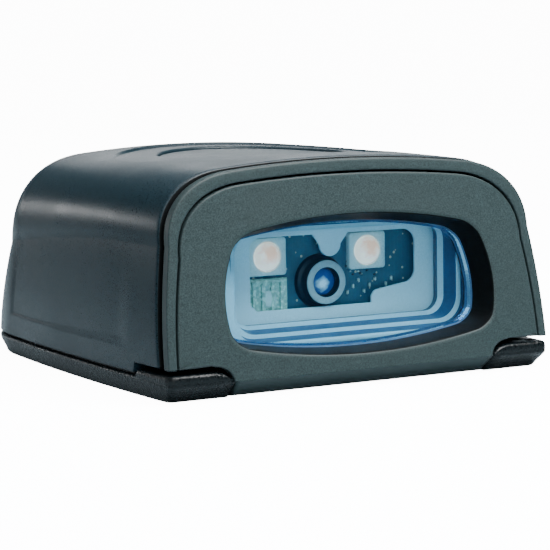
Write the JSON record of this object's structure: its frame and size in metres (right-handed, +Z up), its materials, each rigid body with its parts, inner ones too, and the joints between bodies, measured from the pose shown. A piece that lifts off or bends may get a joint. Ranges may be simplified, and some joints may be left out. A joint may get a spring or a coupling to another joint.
{
  "type": "fixed-mount barcode imager",
  "caption": "Compact box-shaped code reader with a domed cover, a leaning front with a recessed tinted window, a round top button and a rear port",
  "frame": {"origin": "middle of the rectangle that the housing covers, on the resting face under the base plate", "axes": "+Z up; -Y is the side of the window, so +Y runs to the rear port; +X is to the right of a person who faces the window"},
  "size_m": [0.0584, 0.062, 0.0292],
  "materials": {
    "cover_plastic": "satin, very fine grain",
    "front_plastic": "matte, fine spark-eroded texture",
    "base_plastic": "matte, coarse texture",
    "seal_rubber": "matte",
    "window_glass": "polished, blue tinted",
    "shroud_plastic": "satin",
    "mask_plastic": "matte",
    "circuit_board": "solder mask",
    "white_ceramic": "matte",
    "led_plastic": "gloss",
    "led_glass": "polished",
    "barrel_metal": "black anodised, machined",
    "lens_glass": "coated",
    "chip_plastic": "matte",
    "aiming_plastic": "translucent",
    "chassis_metal": "die cast",
    "screw_steel": "zinc plated",
    "dark_steel": "black oxide",
    "flex_film": "polyimide film",
    "can_metal": "tin plated",
    "insert_brass": "machined",
    "jack_plastic": "moulded",
    "contact_metal": "gold plated",
    "button_plastic": "satin"
  },
  "bodies": {
    "housing": {"top_cover": "cover_plastic", "front_frame": "front_plastic", "front_panel": "front_plastic", "base_plate": "base_plastic", "base_seal": "seal_rubber", "exit_window": "window_glass", "window_gasket": "seal_rubber", "light_shroud": "shroud_plastic", "optics_mask": "mask_plastic", "optics_board": "circuit_board", "optics_chips": "white_ceramic", "led_package_left": "led_plastic", "led_package_right": "led_plastic", "led_lens_left": "led_glass", "led_lens_right": "led_glass", "lens_barrel": "barrel_metal", "camera_lens": "lens_glass", "image_sensor": "chip_plastic", "aiming_module": "aiming_plastic", "aiming_lens": "lens_glass", "engine_chassis": "chassis_metal", "engine_screws": "screw_steel", "flex_cable": "flex_film", "main_board": "circuit_board", "decoder_chip": "chip_plastic", "memory_chips": "chip_plastic", "shield_can": "can_metal", "board_parts": "white_ceramic", "beeper": "chip_plastic", "board_screws": "screw_steel", "cover_screws": "dark_steel", "mount_inserts": "insert_brass", "interface_jack": "jack_plastic", "jack_contacts": "contact_metal", "key_board": "circuit_board", "key_dome": "can_metal", "key_screws": "screw_steel", "status_led": "led_plastic", "light_pipe": "led_glass"},
    "button": {"trigger_button": "button_plastic"}
  },
  "joints": [
    {"name": "button_press", "type": "slide", "parent": "housing", "child": "button", "axis": [0, 0, -1], "range_m": [0, 0.0005], "stiffness_N_per_m": 400}
  ]
}
